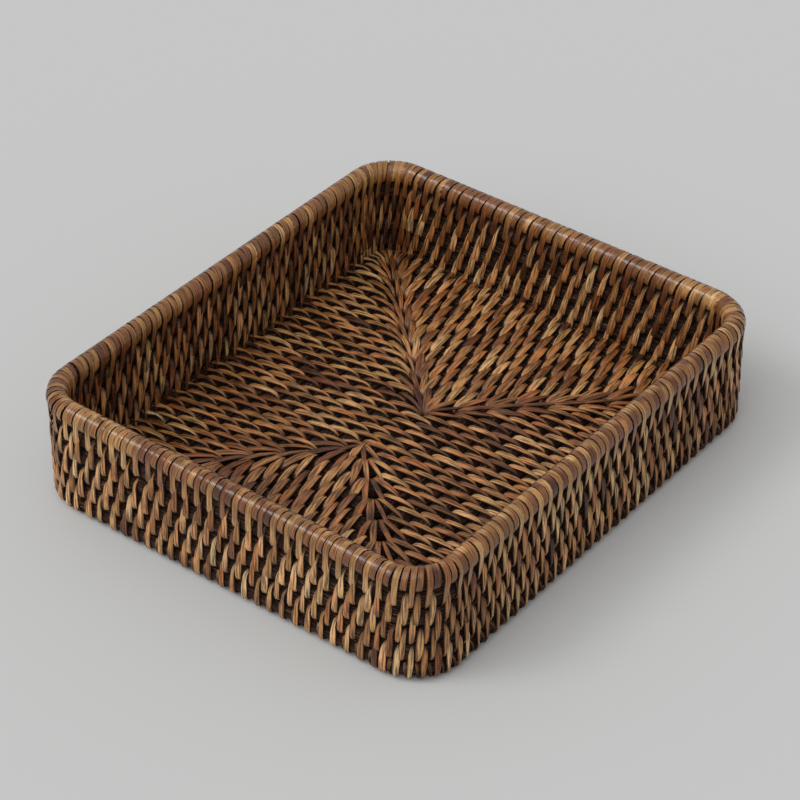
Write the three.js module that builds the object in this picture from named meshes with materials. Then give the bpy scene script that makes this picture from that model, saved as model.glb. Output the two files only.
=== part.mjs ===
// A shallow rectangular storage basket of coiled rattan, in millimetres, +Z up.
// Round core rods are laid side by side in a flat rectangular spiral for the base and stacked as coils
// for the wall. A split strand binds each rod to the one before it: it spans two rods, dives through the
// crevice beyond them and comes back on the other side, so neighbouring rows of stitches interlock.
import * as THREE from "three";

// Driving dimensions
const BASE_ROD = 8.1; // diameter of the rods in the base
const WALL_ROD = 7.4; // diameter of the foot coil and the wall coils
const RIM_ROD = 9.1; // diameter of the rod at the top edge
const STRAND_WIDTH = 3.7;
const STRAND_CROWN_WIDTH = 2.5; // width of the strand's flat outer face, between its rounded edges
const TURNED_WIDTH = 2.6; // width of the strand where it is rolled to run along a rod
const STRAND_THICKNESS = 0.9;
const SEAT = 0.3; // gap between pieces that touch
const BASE_TURNS = 10; // turns of the base spiral inside the foot coil
const WALL_COILS = 4; // coils between the foot coil and the rim
const FOLD_HALF_LENGTH = 16.7; // half of the straight fold in the middle of the base
const FOOT_BEND = 21; // corner radius of the foot coil, wall coils and rim, on the rod's middle line
const TIGHTEST_BEND = 8; // corner radius of the innermost turn, on the rod's middle line
const CROWN = 3; // how far the middle of the base stands above its edge
const BASE_STITCH_SPACING = 57; // distance between the stitches of one row in the base
const WALL_STITCH_SPACING = 105; // distance between the stitches of one row in the wall
const STITCH_ADVANCE = 1.3; // how far one loop moves along the rod
const TAIL = 6; // free length of a strand before its first and after its last stitch
const SPLICE_STEP = 24; // distance along the wall between the splices of neighbouring coils
const BEND_STEPS = 3;
const FACETS = 8;
const PHASES = 3; // rows before the stitches line up again
const GAP_SAMPLES = 6; // points on each edge of a strand between two stations

// Sizes that follow
const CREVICE = 2 * STRAND_THICKNESS + 3 * SEAT; // room for two strands between neighbouring rods
const BASE_PITCH = BASE_ROD + CREVICE;
const WALL_PITCH = WALL_ROD + CREVICE;
const FOOT_PITCH = (BASE_ROD + WALL_ROD) / 2 + CREVICE;
const STRAND_LAYER = SEAT + STRAND_THICKNESS;
const BASE_EDGE_Z = STRAND_LAYER + BASE_ROD / 2;
const FOOT_Z = STRAND_LAYER + WALL_ROD / 2;
const TOP_COIL_Z = FOOT_Z + WALL_COILS * WALL_PITCH;
const RIM_Z = TOP_COIL_Z + WALL_ROD / 2 + CREVICE + RIM_ROD / 2;
const FOOT_HALF_WIDTH = (BASE_TURNS - 0.5) * BASE_PITCH + FOOT_PITCH;
const FOOT_HALF_LENGTH = FOOT_HALF_WIDTH + FOLD_HALF_LENGTH;
const FACET_ANGLE = (2 * Math.PI) / FACETS;
const MITRE = 1 / Math.cos(FACET_ANGLE / 2);
const UP = new THREE.Vector3(0, 0, 1);
const DOWN = new THREE.Vector3(0, 0, -1);

// Finishes: dark core rods, tan strands, and redder varnished strands at the rim
const CORE = { color: 0x33231a, roughness: 0.85, metalness: 0 };
const STRAND = { color: 0x96693b, roughness: 0.55, metalness: 0 };
const RIM_STRAND = { color: 0x7d5433, roughness: 0.4, metalness: 0 };

const basket = new THREE.Group();
basket.name = "rattan_storage_basket";
let leastGap = Infinity;

const flat = (x, y) => new THREE.Vector2(x, y);
const raised = (point, z) => new THREE.Vector3(point.x, point.y, z);
const leftOf = (heading) => flat(-heading.y, heading.x);
const outwardOf = (heading) => flat(heading.y, -heading.x);

// A path through given stations, each with the two axes of the section that is swept along it
class StationPath extends THREE.Curve {
  constructor(stations) {
    super();
    this.stations = stations;
  }

  getPoint(t, target = new THREE.Vector3()) {
    const index = Math.round(t * (this.stations.length - 1));
    return target.copy(this.stations[index].at);
  }

  getPointAt(u, target) {
    return this.getPoint(u, target);
  }

  computeFrenetFrames() {
    return {
      tangents: this.stations.map((station) => station.heading),
      normals: this.stations.map((station) => station.normal),
      binormals: this.stations.map((station) => station.across),
    };
  }
}

// A station of a sweep: the section is stretched outward where it is mitred, and drawn in across
// where a strand is rolled
function station(at, heading, normal, outward = 1, width = 1) {
  const across = new THREE.Vector3().crossVectors(heading, normal).multiplyScalar(width);
  return { at, heading, normal: normal.clone().multiplyScalar(outward), across };
}

function sweep(section, stations) {
  const extrudePath = new StationPath(stations);
  return new THREE.ExtrudeGeometry(section, { steps: stations.length - 1, extrudePath });
}

// A rod's section has flats above, below, inside and outside, where strands and neighbours lie
function rodSection(diameter) {
  const radius = (MITRE * diameter) / 2;
  const corners = [];
  for (let i = 0; i < FACETS; i++) {
    const angle = (i + 0.5) * FACET_ANGLE;
    corners.push(flat(radius * Math.cos(angle), radius * Math.sin(angle)));
  }
  return new THREE.Shape(corners);
}

// A split strand is flat towards the rod and crowned away from it
function strandSection() {
  return new THREE.Shape([
    flat(0, -STRAND_WIDTH / 2),
    flat(STRAND_THICKNESS, -STRAND_CROWN_WIDTH / 2),
    flat(STRAND_THICKNESS, STRAND_CROWN_WIDTH / 2),
    flat(0, STRAND_WIDTH / 2),
  ]);
}

// The stations of one left-hand bend of a plan route
function bendStations(corner, headingIn, radius) {
  const side = leftOf(headingIn);
  const centre = corner.clone().addScaledVector(headingIn, -radius).addScaledVector(side, radius);
  const stations = [];
  for (let i = 0; i <= BEND_STEPS; i++) {
    const heading = headingIn.clone().rotateAround(flat(0, 0), ((i / BEND_STEPS) * Math.PI) / 2);
    stations.push({ at: centre.clone().addScaledVector(outwardOf(heading), radius), heading });
  }
  return stations;
}

// A plan route, counterclockwise: straight legs between given points, with each inner point rounded.
// A bend is limited by the legs that it joins.
function planRoute(points, radius) {
  const headings = points.slice(1).map((point, i) => point.clone().sub(points[i]).normalize());
  const lengths = headings.map((_, i) => points[i + 1].distanceTo(points[i]));
  const last = lengths.length - 1;
  const room = lengths.map((length, i) => (i === 0 || i === last ? length - SEAT : length / 2));
  const parts = [];
  let legStart = points[0].clone().addScaledVector(headings[0], SEAT / 2);
  for (let i = 0; i < last; i++) {
    const stations = bendStations(points[i + 1], headings[i], Math.min(radius, room[i], room[i + 1]));
    parts.push({ leg: [legStart, stations[0].at], heading: headings[i] }, { bend: stations });
    legStart = stations[BEND_STEPS].at;
  }
  const legEnd = points[last + 1].clone().addScaledVector(headings[last], -SEAT / 2);
  parts.push({ leg: [legStart, legEnd], heading: headings[last] });
  return parts;
}

// The rod that follows a plan route at one height
function rodGeometry(route, z, diameter) {
  const plan = [];
  for (const part of route) {
    if (part.leg) part.leg.forEach((at) => plan.push({ at, heading: part.heading }));
    else plan.push(...part.bend);
  }
  const apart = plan.filter((place, i) => i === 0 || place.at.distanceTo(plan[i - 1].at) > SEAT / 2);
  const stations = apart.map(({ at, heading }) =>
    station(raised(at, z), raised(heading, 0), raised(outwardOf(heading), 0)),
  );
  return sweep(rodSection(diameter), stations);
}

// Where the strand runs between two stitches: on the side of its own rod that faces the next one
function travelStation(pair, heading, travelAngle) {
  const side = new THREE.Vector3().crossVectors(heading, pair.axis);
  const normal = spoke(pair.axis, side, travelAngle);
  const at = pair.own.clone().addScaledVector(normal, pair.ownReach);
  return station(at, heading, normal, 1, TURNED_WIDTH / STRAND_WIDTH);
}

function spoke(axis, side, angle) {
  return axis.clone().multiplyScalar(Math.cos(angle)).addScaledVector(side, Math.sin(angle));
}

// One stitch: out of the travelling run, round both rods of the pair, and back into the run.
// The strand hugs each rod on tangent planes, so every seat is one gap wide.
function stitchStations(pair, heading, travelAngle) {
  const side = new THREE.Vector3().crossVectors(heading, pair.axis);
  const stations = [];
  let shift = 0;
  let roundPartner = false;
  for (let i = 0; i < FACETS; i++) {
    const angle = travelAngle + (i + 0.5) * FACET_ANGLE;
    const onOwn = Math.cos(angle) > 0;
    if (onOwn && roundPartner) shift = STITCH_ADVANCE;
    if (!onOwn) roundPartner = true;
    const normal = spoke(pair.axis, side, angle);
    const at = (onOwn ? pair.own : pair.partner).clone();
    at.addScaledVector(normal, (onOwn ? pair.ownReach : pair.partnerReach) * MITRE);
    at.addScaledVector(heading, shift);
    stations.push(station(at, spoke(pair.axis, side, angle + Math.PI / 2), normal, MITRE));
  }
  const before = travelStation(pair, heading, travelAngle);
  const after = travelStation(pair, heading, travelAngle);
  before.at.addScaledVector(heading, -STRAND_WIDTH / 2);
  after.at.addScaledVector(heading, STRAND_WIDTH / 2 + STITCH_ADVANCE);
  return [before, ...stations, after];
}

// The places of the stitches on one straight leg: a grid that is shifted back from row to row, so that
// stitches that share a rod stand apart
function stitchPlaces(part, row) {
  const [from, to] = part.leg;
  const start = from.dot(part.heading);
  const end = to.dot(part.heading) - row.margin - STITCH_ADVANCE;
  const phase = ((row.number * (PHASES - 1) + 1) % PHASES) / PHASES;
  const first = Math.ceil((start + row.margin) / row.spacing - phase);
  const places = [];
  for (let along = (first + phase) * row.spacing; along <= end; along += row.spacing) {
    places.push(from.clone().addScaledVector(part.heading, along - start));
  }
  return places;
}

// The stretches of a row's strand along its rod: each bend, and each stitch
function strandStretches(row) {
  const stretches = [];
  for (const part of row.route) {
    if (part.bend) {
      const stations = part.bend.map(({ at, heading }) =>
        travelStation(row.pairAt(at, heading), raised(heading, 0), row.travelAngle),
      );
      stretches.push({ stations, stitch: false });
      continue;
    }
    for (const place of stitchPlaces(part, row)) {
      const pair = row.pairAt(place, part.heading);
      const stations = stitchStations(pair, raised(part.heading, 0), row.travelAngle);
      stretches.push({ stations, stitch: true });
    }
  }
  return stretches;
}

// One row of stitches: a single unbroken strand, from a tail before its first stitch to one after its last
function lashingGeometry(row) {
  const stretches = strandStretches(row);
  const first = Math.max(stretches.findIndex((stretch) => stretch.stitch), 0);
  const last = stretches.findLastIndex((stretch) => stretch.stitch);
  const used = stretches.slice(first, last < 0 ? stretches.length : last + 1);
  const stations = used.flatMap((stretch) => stretch.stations);
  const head = stations[0];
  const end = stations[stations.length - 1];
  const headTail = { ...head, at: head.at.clone().addScaledVector(head.heading, -TAIL) };
  const endTail = { ...end, at: end.at.clone().addScaledVector(end.heading, TAIL) };
  const strand = [headTail, ...stations, endTail];
  leastGap = Math.min(leastGap, gapToItself(strand));
  return sweep(strandSection(), strand);
}

// The least distance between points on a strand's edges that lie several stations apart along it
function gapToItself(stations) {
  const points = [];
  for (let i = 1; i < stations.length; i++) {
    for (const edge of [-STRAND_WIDTH / 2, STRAND_WIDTH / 2]) {
      const from = stations[i - 1].at.clone().addScaledVector(stations[i - 1].across, edge);
      const to = stations[i].at.clone().addScaledVector(stations[i].across, edge);
      for (let step = 0; step < GAP_SAMPLES; step++) {
        points.push({ at: from.clone().lerp(to, step / GAP_SAMPLES), segment: i });
      }
    }
  }
  let gap = Infinity;
  for (const [i, point] of points.entries()) {
    for (const other of points.slice(i + 1)) {
      if (other.segment - point.segment < FACETS / 2) continue;
      gap = Math.min(gap, point.at.distanceToSquared(other.at));
    }
  }
  return Math.sqrt(gap);
}

function addPiece(name, geometry, finish) {
  const mesh = new THREE.Mesh(geometry, new THREE.MeshStandardMaterial(finish));
  mesh.name = name;
  basket.add(mesh);
}

// The base spiral: on the left side each turn meets the next one, half a pitch off the middle line
const reach = (turn) => (turn - 0.5) * BASE_PITCH;
const baseZ = (turn) => BASE_EDGE_Z + (CROWN / 2) * (1 + Math.cos((Math.PI * turn) / BASE_TURNS));
const seamColumn = (turn) => -(FOLD_HALF_LENGTH + (turn + 0.5) * BASE_PITCH);
const BEND_GROWTH = (FOOT_BEND - TIGHTEST_BEND) / BASE_TURNS;
const turnBend = (turn) => TIGHTEST_BEND + BEND_GROWTH * (turn - 1);

// One turn of the base, from its outer end to its inner end. The last turn begins where the foot coil
// starts to bend, and the first turn ends inside the fold.
function turnRoute(turn) {
  const right = FOLD_HALF_LENGTH + reach(turn);
  const seam = BASE_PITCH / 2;
  const outerEnd = [flat(seamColumn(turn), seam), flat(seamColumn(turn), -reach(turn))];
  const tuckedEnd = [flat(FOOT_BEND - FOOT_HALF_LENGTH, -reach(turn))];
  const innerEnd = [flat(seamColumn(turn - 1), reach(turn)), flat(seamColumn(turn - 1), seam)];
  const coreEnd = [flat(seamColumn(turn - 1), reach(turn))];
  const points = [
    ...(turn === BASE_TURNS ? tuckedEnd : outerEnd),
    flat(right, -reach(turn)),
    flat(right, reach(turn)),
    ...(turn === 1 ? coreEnd : innerEnd),
  ];
  return planRoute(points, turnBend(turn));
}

// A coil of the foot, wall or rim: one turn, spliced on the left side, with the splices staggered
function coilRoute(level) {
  const splice = (level - WALL_COILS / 2) * SPLICE_STEP;
  const points = [
    flat(-FOOT_HALF_LENGTH, splice),
    flat(-FOOT_HALF_LENGTH, -FOOT_HALF_WIDTH),
    flat(FOOT_HALF_LENGTH, -FOOT_HALF_WIDTH),
    flat(FOOT_HALF_LENGTH, FOOT_HALF_WIDTH),
    flat(-FOOT_HALF_LENGTH, FOOT_HALF_WIDTH),
    flat(-FOOT_HALF_LENGTH, splice),
  ];
  return planRoute(points, FOOT_BEND);
}

const coilZ = (level) => FOOT_Z + level * WALL_PITCH;

// A pair of rods side by side, at one place of the outer rod's route
function flatPair(at, heading, own, partner) {
  const outward = outwardOf(heading);
  const pitch = (own.diameter + partner.diameter) / 2 + CREVICE;
  return {
    own: raised(at, own.z),
    partner: raised(at.clone().addScaledVector(outward, -pitch), partner.z),
    ownReach: own.diameter / 2 + SEAT,
    partnerReach: partner.diameter / 2 + SEAT,
    axis: raised(outward, 0),
  };
}

// A pair of rods one above the other in the wall. The axis points from the partner to the own rod.
function stackedPair(at, own, partner, axis) {
  return {
    own: raised(at, own.z),
    partner: raised(at, partner.z),
    ownReach: own.diameter / 2 + SEAT,
    partnerReach: partner.diameter / 2 + SEAT,
    axis,
  };
}

const baseRod = (turn) => ({ z: baseZ(turn), diameter: BASE_ROD });
const wallRod = (level) => ({ z: coilZ(level), diameter: WALL_ROD });
const rimRod = { z: RIM_Z, diameter: RIM_ROD };

// Base coils and the rows that bind each one to the turn inside it. The first row binds the two halves
// of the fold to each other.
const baseMargin = BASE_PITCH - BEND_GROWTH + STRAND_WIDTH / 2;
for (let turn = 1; turn <= BASE_TURNS; turn++) {
  const label = String(turn).padStart(2, "0");
  const route = turnRoute(turn);
  addPiece(`base_coil_${label}`, rodGeometry(route, baseZ(turn), BASE_ROD), CORE);
  const inFold = turn === 1;
  const row = {
    number: turn,
    route: inFold ? route.filter((part) => part.leg && part.heading.x > 0) : route,
    pairAt: (at, heading) => flatPair(at, heading, baseRod(turn), baseRod(inFold ? turn : turn - 1)),
    travelAngle: 0,
    spacing: BASE_STITCH_SPACING,
    margin: inFold ? STRAND_WIDTH : baseMargin,
  };
  addPiece(inFold ? "fold_lashing" : `base_lashing_${label}`, lashingGeometry(row), STRAND);
}

// The foot coil, bound to the last turn of the base, and beyond that turn's tucked end to the one before.
// Its strand travels on top of the coil, so that nothing runs along the outside.
const footPartner = (at, heading) => {
  const beyondTuck = heading.y < 0 && at.y < BASE_PITCH / 2;
  return baseRod(beyondTuck ? BASE_TURNS - 1 : BASE_TURNS);
};
addPiece("foot_coil", rodGeometry(coilRoute(0), FOOT_Z, WALL_ROD), CORE);
const footRow = {
  number: BASE_TURNS + 1,
  route: coilRoute(0),
  pairAt: (at, heading) => flatPair(at, heading, wallRod(0), footPartner(at, heading)),
  travelAngle: -Math.PI / 2,
  spacing: WALL_STITCH_SPACING,
  margin: baseMargin,
};
addPiece("foot_lashing", lashingGeometry(footRow), STRAND);

// One row round the wall, where every strand travels between two coils
function wallRow(level, pairAt) {
  return {
    number: BASE_TURNS + 1 + level,
    route: coilRoute(Math.min(level, WALL_COILS + 1)),
    pairAt,
    travelAngle: 0,
    spacing: WALL_STITCH_SPACING,
    margin: STRAND_WIDTH + TAIL,
  };
}

// Wall coils, each bound to the coil below it
for (let level = 1; level <= WALL_COILS; level++) {
  const pairAt = (at) => stackedPair(at, wallRod(level), wallRod(level - 1), UP);
  addPiece(`wall_coil_${level}`, rodGeometry(coilRoute(level), coilZ(level), WALL_ROD), CORE);
  addPiece(`wall_lashing_${level}`, lashingGeometry(wallRow(level, pairAt)), STRAND);
}

// The rim rod: long wraps bind it to the top coil, and short wraps between them go round it alone
const longPair = (at) => stackedPair(at, wallRod(WALL_COILS), rimRod, DOWN);
const shortPair = (at) => stackedPair(at, rimRod, rimRod, DOWN);
addPiece("rim_rod", rodGeometry(coilRoute(WALL_COILS + 1), RIM_Z, RIM_ROD), CORE);
addPiece("rim_long_wraps", lashingGeometry(wallRow(WALL_COILS + 1, longPair)), RIM_STRAND);
addPiece("rim_short_wraps", lashingGeometry(wallRow(WALL_COILS + 2, shortPair)), RIM_STRAND);

console.log(`least gap of a strand to itself: ${leastGap.toFixed(2)} mm`);

export default basket;
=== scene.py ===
"""Rattan storage basket: round core rods lashed row by row with split peel, under a wrapped rim."""

import logging
import math
import random
from dataclasses import dataclass, field, replace
from enum import Enum

import bmesh
import bpy
from mathutils import Matrix, Vector


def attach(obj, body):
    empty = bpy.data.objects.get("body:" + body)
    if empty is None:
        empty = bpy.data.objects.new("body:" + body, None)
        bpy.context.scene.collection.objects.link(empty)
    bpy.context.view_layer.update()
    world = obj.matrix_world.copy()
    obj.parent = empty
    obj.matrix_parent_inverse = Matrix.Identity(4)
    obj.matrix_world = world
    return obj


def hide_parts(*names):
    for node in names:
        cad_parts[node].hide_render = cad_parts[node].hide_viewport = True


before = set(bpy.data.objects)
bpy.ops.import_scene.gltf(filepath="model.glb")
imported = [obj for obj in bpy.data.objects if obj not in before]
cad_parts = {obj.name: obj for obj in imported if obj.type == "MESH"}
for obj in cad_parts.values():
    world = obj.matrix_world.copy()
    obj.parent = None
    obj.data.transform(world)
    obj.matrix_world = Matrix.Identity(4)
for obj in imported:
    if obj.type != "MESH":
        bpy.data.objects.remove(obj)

Table = tuple[tuple[float, float], ...]
Section = tuple[tuple[float, float, float], ...]
Colour = tuple[float, float, float, float]

LOG = logging.getLogger("basket")
MM = 0.001
UP = Vector((0.0, 0.0, 1.0))


class Lay(Enum):
    """Which way a row's strand goes round its two rods; the value is the sign of its turn."""

    UP_OUTSIDE = -1
    OVER_TOP = 1


@dataclass(frozen=True)
class Sizes:
    """The sizes that all sub-assemblies share, in millimetres.

    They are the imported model's, but for two things that are as on the real basket: the corners of the base
    are tighter and the stitches stand close together."""

    base_rod: float = 8.1
    wall_rod: float = 7.4
    rim_rod: float = 9.1
    crevice: float = 2.7
    butt: float = 0.3
    base_turns: int = 10
    wall_coils: int = 4
    fold_half_length: float = 16.7
    foot_half_length: float = 129.75
    foot_half_width: float = 113.05
    foot_bend: float = 21.0
    tightest_bend: float = 6.0
    bend_growth: float = 0.4
    crown: float = 3.0
    base_edge_z: float = 5.25
    foot_z: float = 4.9
    rim_z: float = 56.25
    splice_step: float = 24.0
    stitch_pitch: float = 7.4

    @property
    def base_pitch(self) -> float:
        """Distance between the rods of the base."""
        return self.base_rod + self.crevice

    @property
    def wall_pitch(self) -> float:
        """Distance between the coils of the wall."""
        return self.wall_rod + self.crevice

    def base_z(self, turn: int) -> float:
        """Height of a base turn's centre: the base is crowned in the middle."""
        return self.base_edge_z + self.crown / 2 * (1 + math.cos(math.pi * turn / self.base_turns))

    def coil_z(self, level: int) -> float:
        """Height of the centre of the foot coil (level 0) or a wall coil."""
        return self.foot_z + level * self.wall_pitch

    def reach(self, turn: int) -> float:
        """How far a base turn's long side lies from the middle line."""
        return (turn - 0.5) * self.base_pitch

    def seam_column(self, turn: int) -> float:
        """Where a base turn's outer end runs down the left side."""
        return -(self.fold_half_length + (turn + 0.5) * self.base_pitch)

    def turn_bend(self, turn: int) -> float:
        """Radius of a base turn's corners, which open a little from turn to turn."""
        return self.tightest_bend + self.bend_growth * (turn - 1)


@dataclass(frozen=True)
class Bend:
    """A left-hand quarter bend of a route, with the distances along the route where it starts and ends."""

    start: float
    end: float
    centre: Vector
    heading: Vector
    radius: float

    def place(self, distance: float) -> tuple[Vector, Vector]:
        """The point and heading at a distance along the route.

        Args:
            distance: how far along the route, within the bend.

        Returns:
            The point on the rod's middle line and the direction in which the route runs there.
        """
        turned = self.heading.copy()
        turned.rotate(Matrix.Rotation((distance - self.start) / self.radius, 2))
        return self.centre + Vector((turned.y, -turned.x)) * self.radius, turned


class Route:
    """A plan route, counterclockwise: straight legs between given points, with each inner point rounded."""

    # A leg or bend shorter than this, in millimetres, gets no cross sections of its own
    LEAST_STRETCH = 1e-3

    def __init__(self, points: list[tuple[float, float]], bend: float, butt: float) -> None:
        """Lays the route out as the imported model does.

        Args:
            points: corner points in millimetres, from the first end to the last.
            bend: radius of the corners; the legs that a corner joins limit it.
            butt: the gap that two route ends share where they meet.
        """
        corners = [Vector(point) for point in points]
        steps = [b - a for a, b in zip(corners, corners[1:])]
        last = len(steps) - 1
        room = [step.length - butt if i in (0, last) else step.length / 2 for i, step in enumerate(steps)]
        self.headings = [step.normalized() for step in steps]
        self.starts = [corners[0] + self.headings[0] * (butt / 2)]
        self.bends: list[Bend] = []
        distance = 0.0
        for i in range(last):
            radius = min(bend, room[i], room[i + 1])
            heading = self.headings[i]
            start = corners[i + 1] - heading * radius
            distance += (start - self.starts[-1]).length
            centre = start + Vector((-heading.y, heading.x)) * radius
            end = distance + radius * math.pi / 2
            self.bends.append(Bend(distance, end, centre, heading, radius))
            self.starts.append(corners[i + 1] + self.headings[i + 1] * radius)
            distance = end
        finish = corners[-1] - self.headings[-1] * (butt / 2)
        self.length = distance + (finish - self.starts[-1]).length

    def place(self, distance: float) -> tuple[Vector, Vector]:
        """The point and heading at a distance along the route.

        Args:
            distance: how far along; past either end the route goes straight on.

        Returns:
            The point on the rod's middle line and the direction in which the route runs there.
        """
        leg_start = 0.0
        for i, bend in enumerate(self.bends):
            if distance < bend.start:
                return self.starts[i] + self.headings[i] * (distance - leg_start), self.headings[i]
            if distance < bend.end:
                return bend.place(distance)
            leg_start = bend.end
        return self.starts[-1] + self.headings[-1] * (distance - leg_start), self.headings[-1]

    def distances(self, leg_step: float, bend_step: float) -> list[float]:
        """Distances along the route for a swept rod.

        Args:
            leg_step: the widest spacing on the straight legs.
            bend_step: the widest spacing round the bends.

        Returns:
            The distances in order, from the first end to the last.
        """
        stretches, at = [], 0.0
        for bend in self.bends:
            stretches += [(at, bend.start, leg_step), (bend.start, bend.end, bend_step)]
            at = bend.end
        marks = [0.0]
        for start, end, step in stretches + [(at, self.length, leg_step)]:
            if end - start > self.LEAST_STRETCH:
                count = max(1, math.ceil((end - start) / step))
                marks += [start + (end - start) * i / count for i in range(1, count + 1)]
        return marks


class PairedRoutes:
    """Two routes side by side, and the distance on the partner's that faces each distance on the own one.

    Legs face each other squarely. Round a corner the longer stretch of the own route is spread evenly over
    the partner's bend, so the stitches between them fan out along the mitre."""

    # A leg's stitches keep this share of their spacing clear of its corners, and hardly any of a free end
    CORNER_MARGIN = 0.3
    END_MARGIN = 1e-6

    def __init__(self, own: Route, partner: Route) -> None:
        """Finds the knots where legs and corners change over.

        Args:
            own: the outer route, which the stitches are counted along.
            partner: the inner route, with as many bends.
        """
        self.own = own
        self.partner = partner
        knots = [(0.0, 0.0)]
        for mine, theirs in zip(own.bends, partner.bends):
            my_start, heading = own.place(mine.start)
            early = (my_start - partner.place(theirs.start)[0]).dot(heading)
            my_end, leaving = own.place(mine.end)
            late = (partner.place(theirs.end)[0] - my_end).dot(leaving)
            knots += [(mine.start - early, theirs.start), (mine.end + late, theirs.end)]
        self.knots = knots + [(own.length, partner.length)]

    def facing(self, distance: float) -> float:
        """The partner's distance that faces a distance on the own route.

        Args:
            distance: how far along the own route.

        Returns:
            How far along the partner's route.
        """
        if distance <= 0.0:
            return distance
        for (mine, theirs), (my_next, their_next) in zip(self.knots, self.knots[1:]):
            if distance <= my_next and my_next > mine:
                return theirs + (distance - mine) / (my_next - mine) * (their_next - theirs)
        return self.knots[-1][1] + distance - self.knots[-1][0]

    def centres(
        self, pitch: float, offset: float, corner_share: float, last_shift: float = 0.0
    ) -> list[float]:
        """Distances of the stitches: on a fixed grid along each leg, spread evenly round the corners.

        Args:
            pitch: spacing of the stitches.
            offset: place of the grid, so that neighbouring rows stand half a pitch apart.
            corner_share: the spacing round a corner, as a share of the pitch.
            last_shift: how far the grid is moved on the last leg.

        Returns:
            The stitches' distances along the own route, in order.
        """
        marks: list[float] = []
        last_leg = len(self.knots) - 2
        for i in range(0, len(self.knots), 2):
            start, end = self.knots[i][0], self.knots[i + 1][0]
            middle = (start + end) / 2
            point, heading = self.own.place(middle)
            along = point.dot(heading) - middle - offset - (last_shift if i == last_leg else 0.0)
            first = math.ceil((start + along) / pitch + (self.CORNER_MARGIN if i else 0.0))
            margin = self.CORNER_MARGIN if i < last_leg else self.END_MARGIN
            last = math.floor((end + along) / pitch - margin)
            leg = [k * pitch - along for k in range(first, last + 1)] or [middle]
            if marks:
                gap = leg[0] - marks[-1]
                count = max(1, round(gap / (pitch * corner_share)))
                marks += [marks[-1] + gap * k / count for k in range(1, count)]
            marks += leg
        return marks


@dataclass(frozen=True)
class RodPair:
    """The two rods that a row binds: heights of their centres and their radii, in millimetres."""

    own_z: float
    partner_z: float
    own_radius: float
    partner_radius: float


# Sections of a strip, as shares of its width and thickness and of the way round: crowned peel for the
# stitches, flatter peel for the rim. The two long arrises beside the crown stay sharp.
STRAND_SECTION = (
    (-0.5, 0.0, 0.0), (-0.45, 0.58, 0.07), (0.0, 1.0, 0.5), (0.45, 0.58, 0.93), (0.5, 0.0, 1.0),
)
WRAP_SECTION = (
    (-0.5, 0.0, 0.0), (-0.47, 0.8, 0.05), (0.0, 1.0, 0.5), (0.47, 0.8, 0.95), (0.5, 0.0, 1.0),
)
STRIP_ARRISES = (1, 3)
LEVEL = ((0.0, 0.0), (1.0, 0.0))


@dataclass(frozen=True)
class StitchForm:
    """How a strand changes round one stitch, and how much its stitches differ from each other.

    Each table runs from the crevice behind the own rod (0) to the crevice behind the partner (1): width and
    lift over the rods in millimetres, painted shade where the strand goes down into the crevice from 0 to 1,
    and twist in degrees for the basket's inner face; on its outer face the strand is twisted the other way.
    Tone picks the peel's shade from 0 to 1, and the inner and outer tables shift it on either face; on the
    basket's inner face that shift is painted shading, darker as painted shade where the walls keep the light
    off and lighter as painted light over the rim's top. The seen lead is the share of a stitch's advance
    that it makes on the second half of its way round. The broad, slim and corner shade values are shares: a
    strand may be broader on the basket's short sides and on its inner face, and slimmer where stitches crowd
    in the corners of that face, where it is also painted darker as painted shade. A strand that is flat
    under hugs the rods on the basket's outer face."""

    width: Table = (
        (0.0, 1.2), (0.12, 2.0), (0.22, 2.9), (0.42, 3.2),
        (0.62, 3.15), (0.78, 2.75), (0.9, 1.8), (1.0, 1.0),
    )
    lift: Table = ((0.0, 0.0), (0.3, 0.0), (0.5, 0.35), (0.72, 0.45), (0.88, 0.25), (1.0, 0.0))
    # Painted shade where the strand goes down into the crevice
    crevice_shade: Table = ((0.0, 1.0), (0.1, 0.8), (0.22, 0.25), (0.32, 0.0), (0.78, 0.0), (0.88, 0.4), (1.0, 1.0))
    twist: Table = ((0.0, 0.0), (0.25, 16.0), (0.75, -28.0), (1.0, 0.0))
    section: Section = STRAND_SECTION
    thickness: float = 0.95
    seat: float = 0.15
    seen_lead: float = 0.32
    width_spread: float = 0.2
    lead_spread: float = 0.75
    roll_spread: float = 11.0
    tone: float = 0.5
    tone_spread: float = 0.17
    # Painted shading on the basket's inner face: painted shade where the walls keep the light off, painted
    # light over the rim's top
    inner_painted_shading: Table = LEVEL
    outer_tone: Table = LEVEL
    odd_share: float = 0.04
    broad_ends: float = 0.0
    broad_inside: float = 0.0
    corner_slim: float = 0.0
    # Painted shade in the inner corners, where two walls keep the light off
    corner_painted_shade: float = 0.0
    flat_under: bool = False


# What the rim's long and short wraps have in common
WRAP_FORM = StitchForm(
    section=WRAP_SECTION,
    thickness=0.5,
    seat=0.45,
    seen_lead=0.28,
    lead_spread=0.0,
    roll_spread=5.0,
    tone_spread=0.15,
    odd_share=0.02,
)


def from_table(table: Table, at: float) -> float:
    """A value read between the entries of a table.

    Args:
        table: pairs of place and value, in order.
        at: the place to read.

    Returns:
        The value there, with smooth steps between the entries.
    """
    for (a, low), (b, high) in zip(table, table[1:]):
        if at <= b:
            share = max(0.0, (at - a) / (b - a))
            return low + (high - low) * share * share * (3 - 2 * share)
    return table[-1][1]


@dataclass
class Station:
    """One cross section of a swept rod or strand, in millimetres."""

    at: Vector
    normal: Vector
    width: float
    thickness: float
    run: float = 0.0
    tone: float = 0.5
    crevice_shade: float = 0.0
    across: Vector = field(default_factory=Vector)


def round_section(sides: int) -> Section:
    """A circle of unit diameter as (across, out, share round) corners."""
    turns = [i / sides for i in range(sides)]
    return tuple((math.sin(math.tau * t) / 2, math.cos(math.tau * t) / 2, t) for t in turns)


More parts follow.
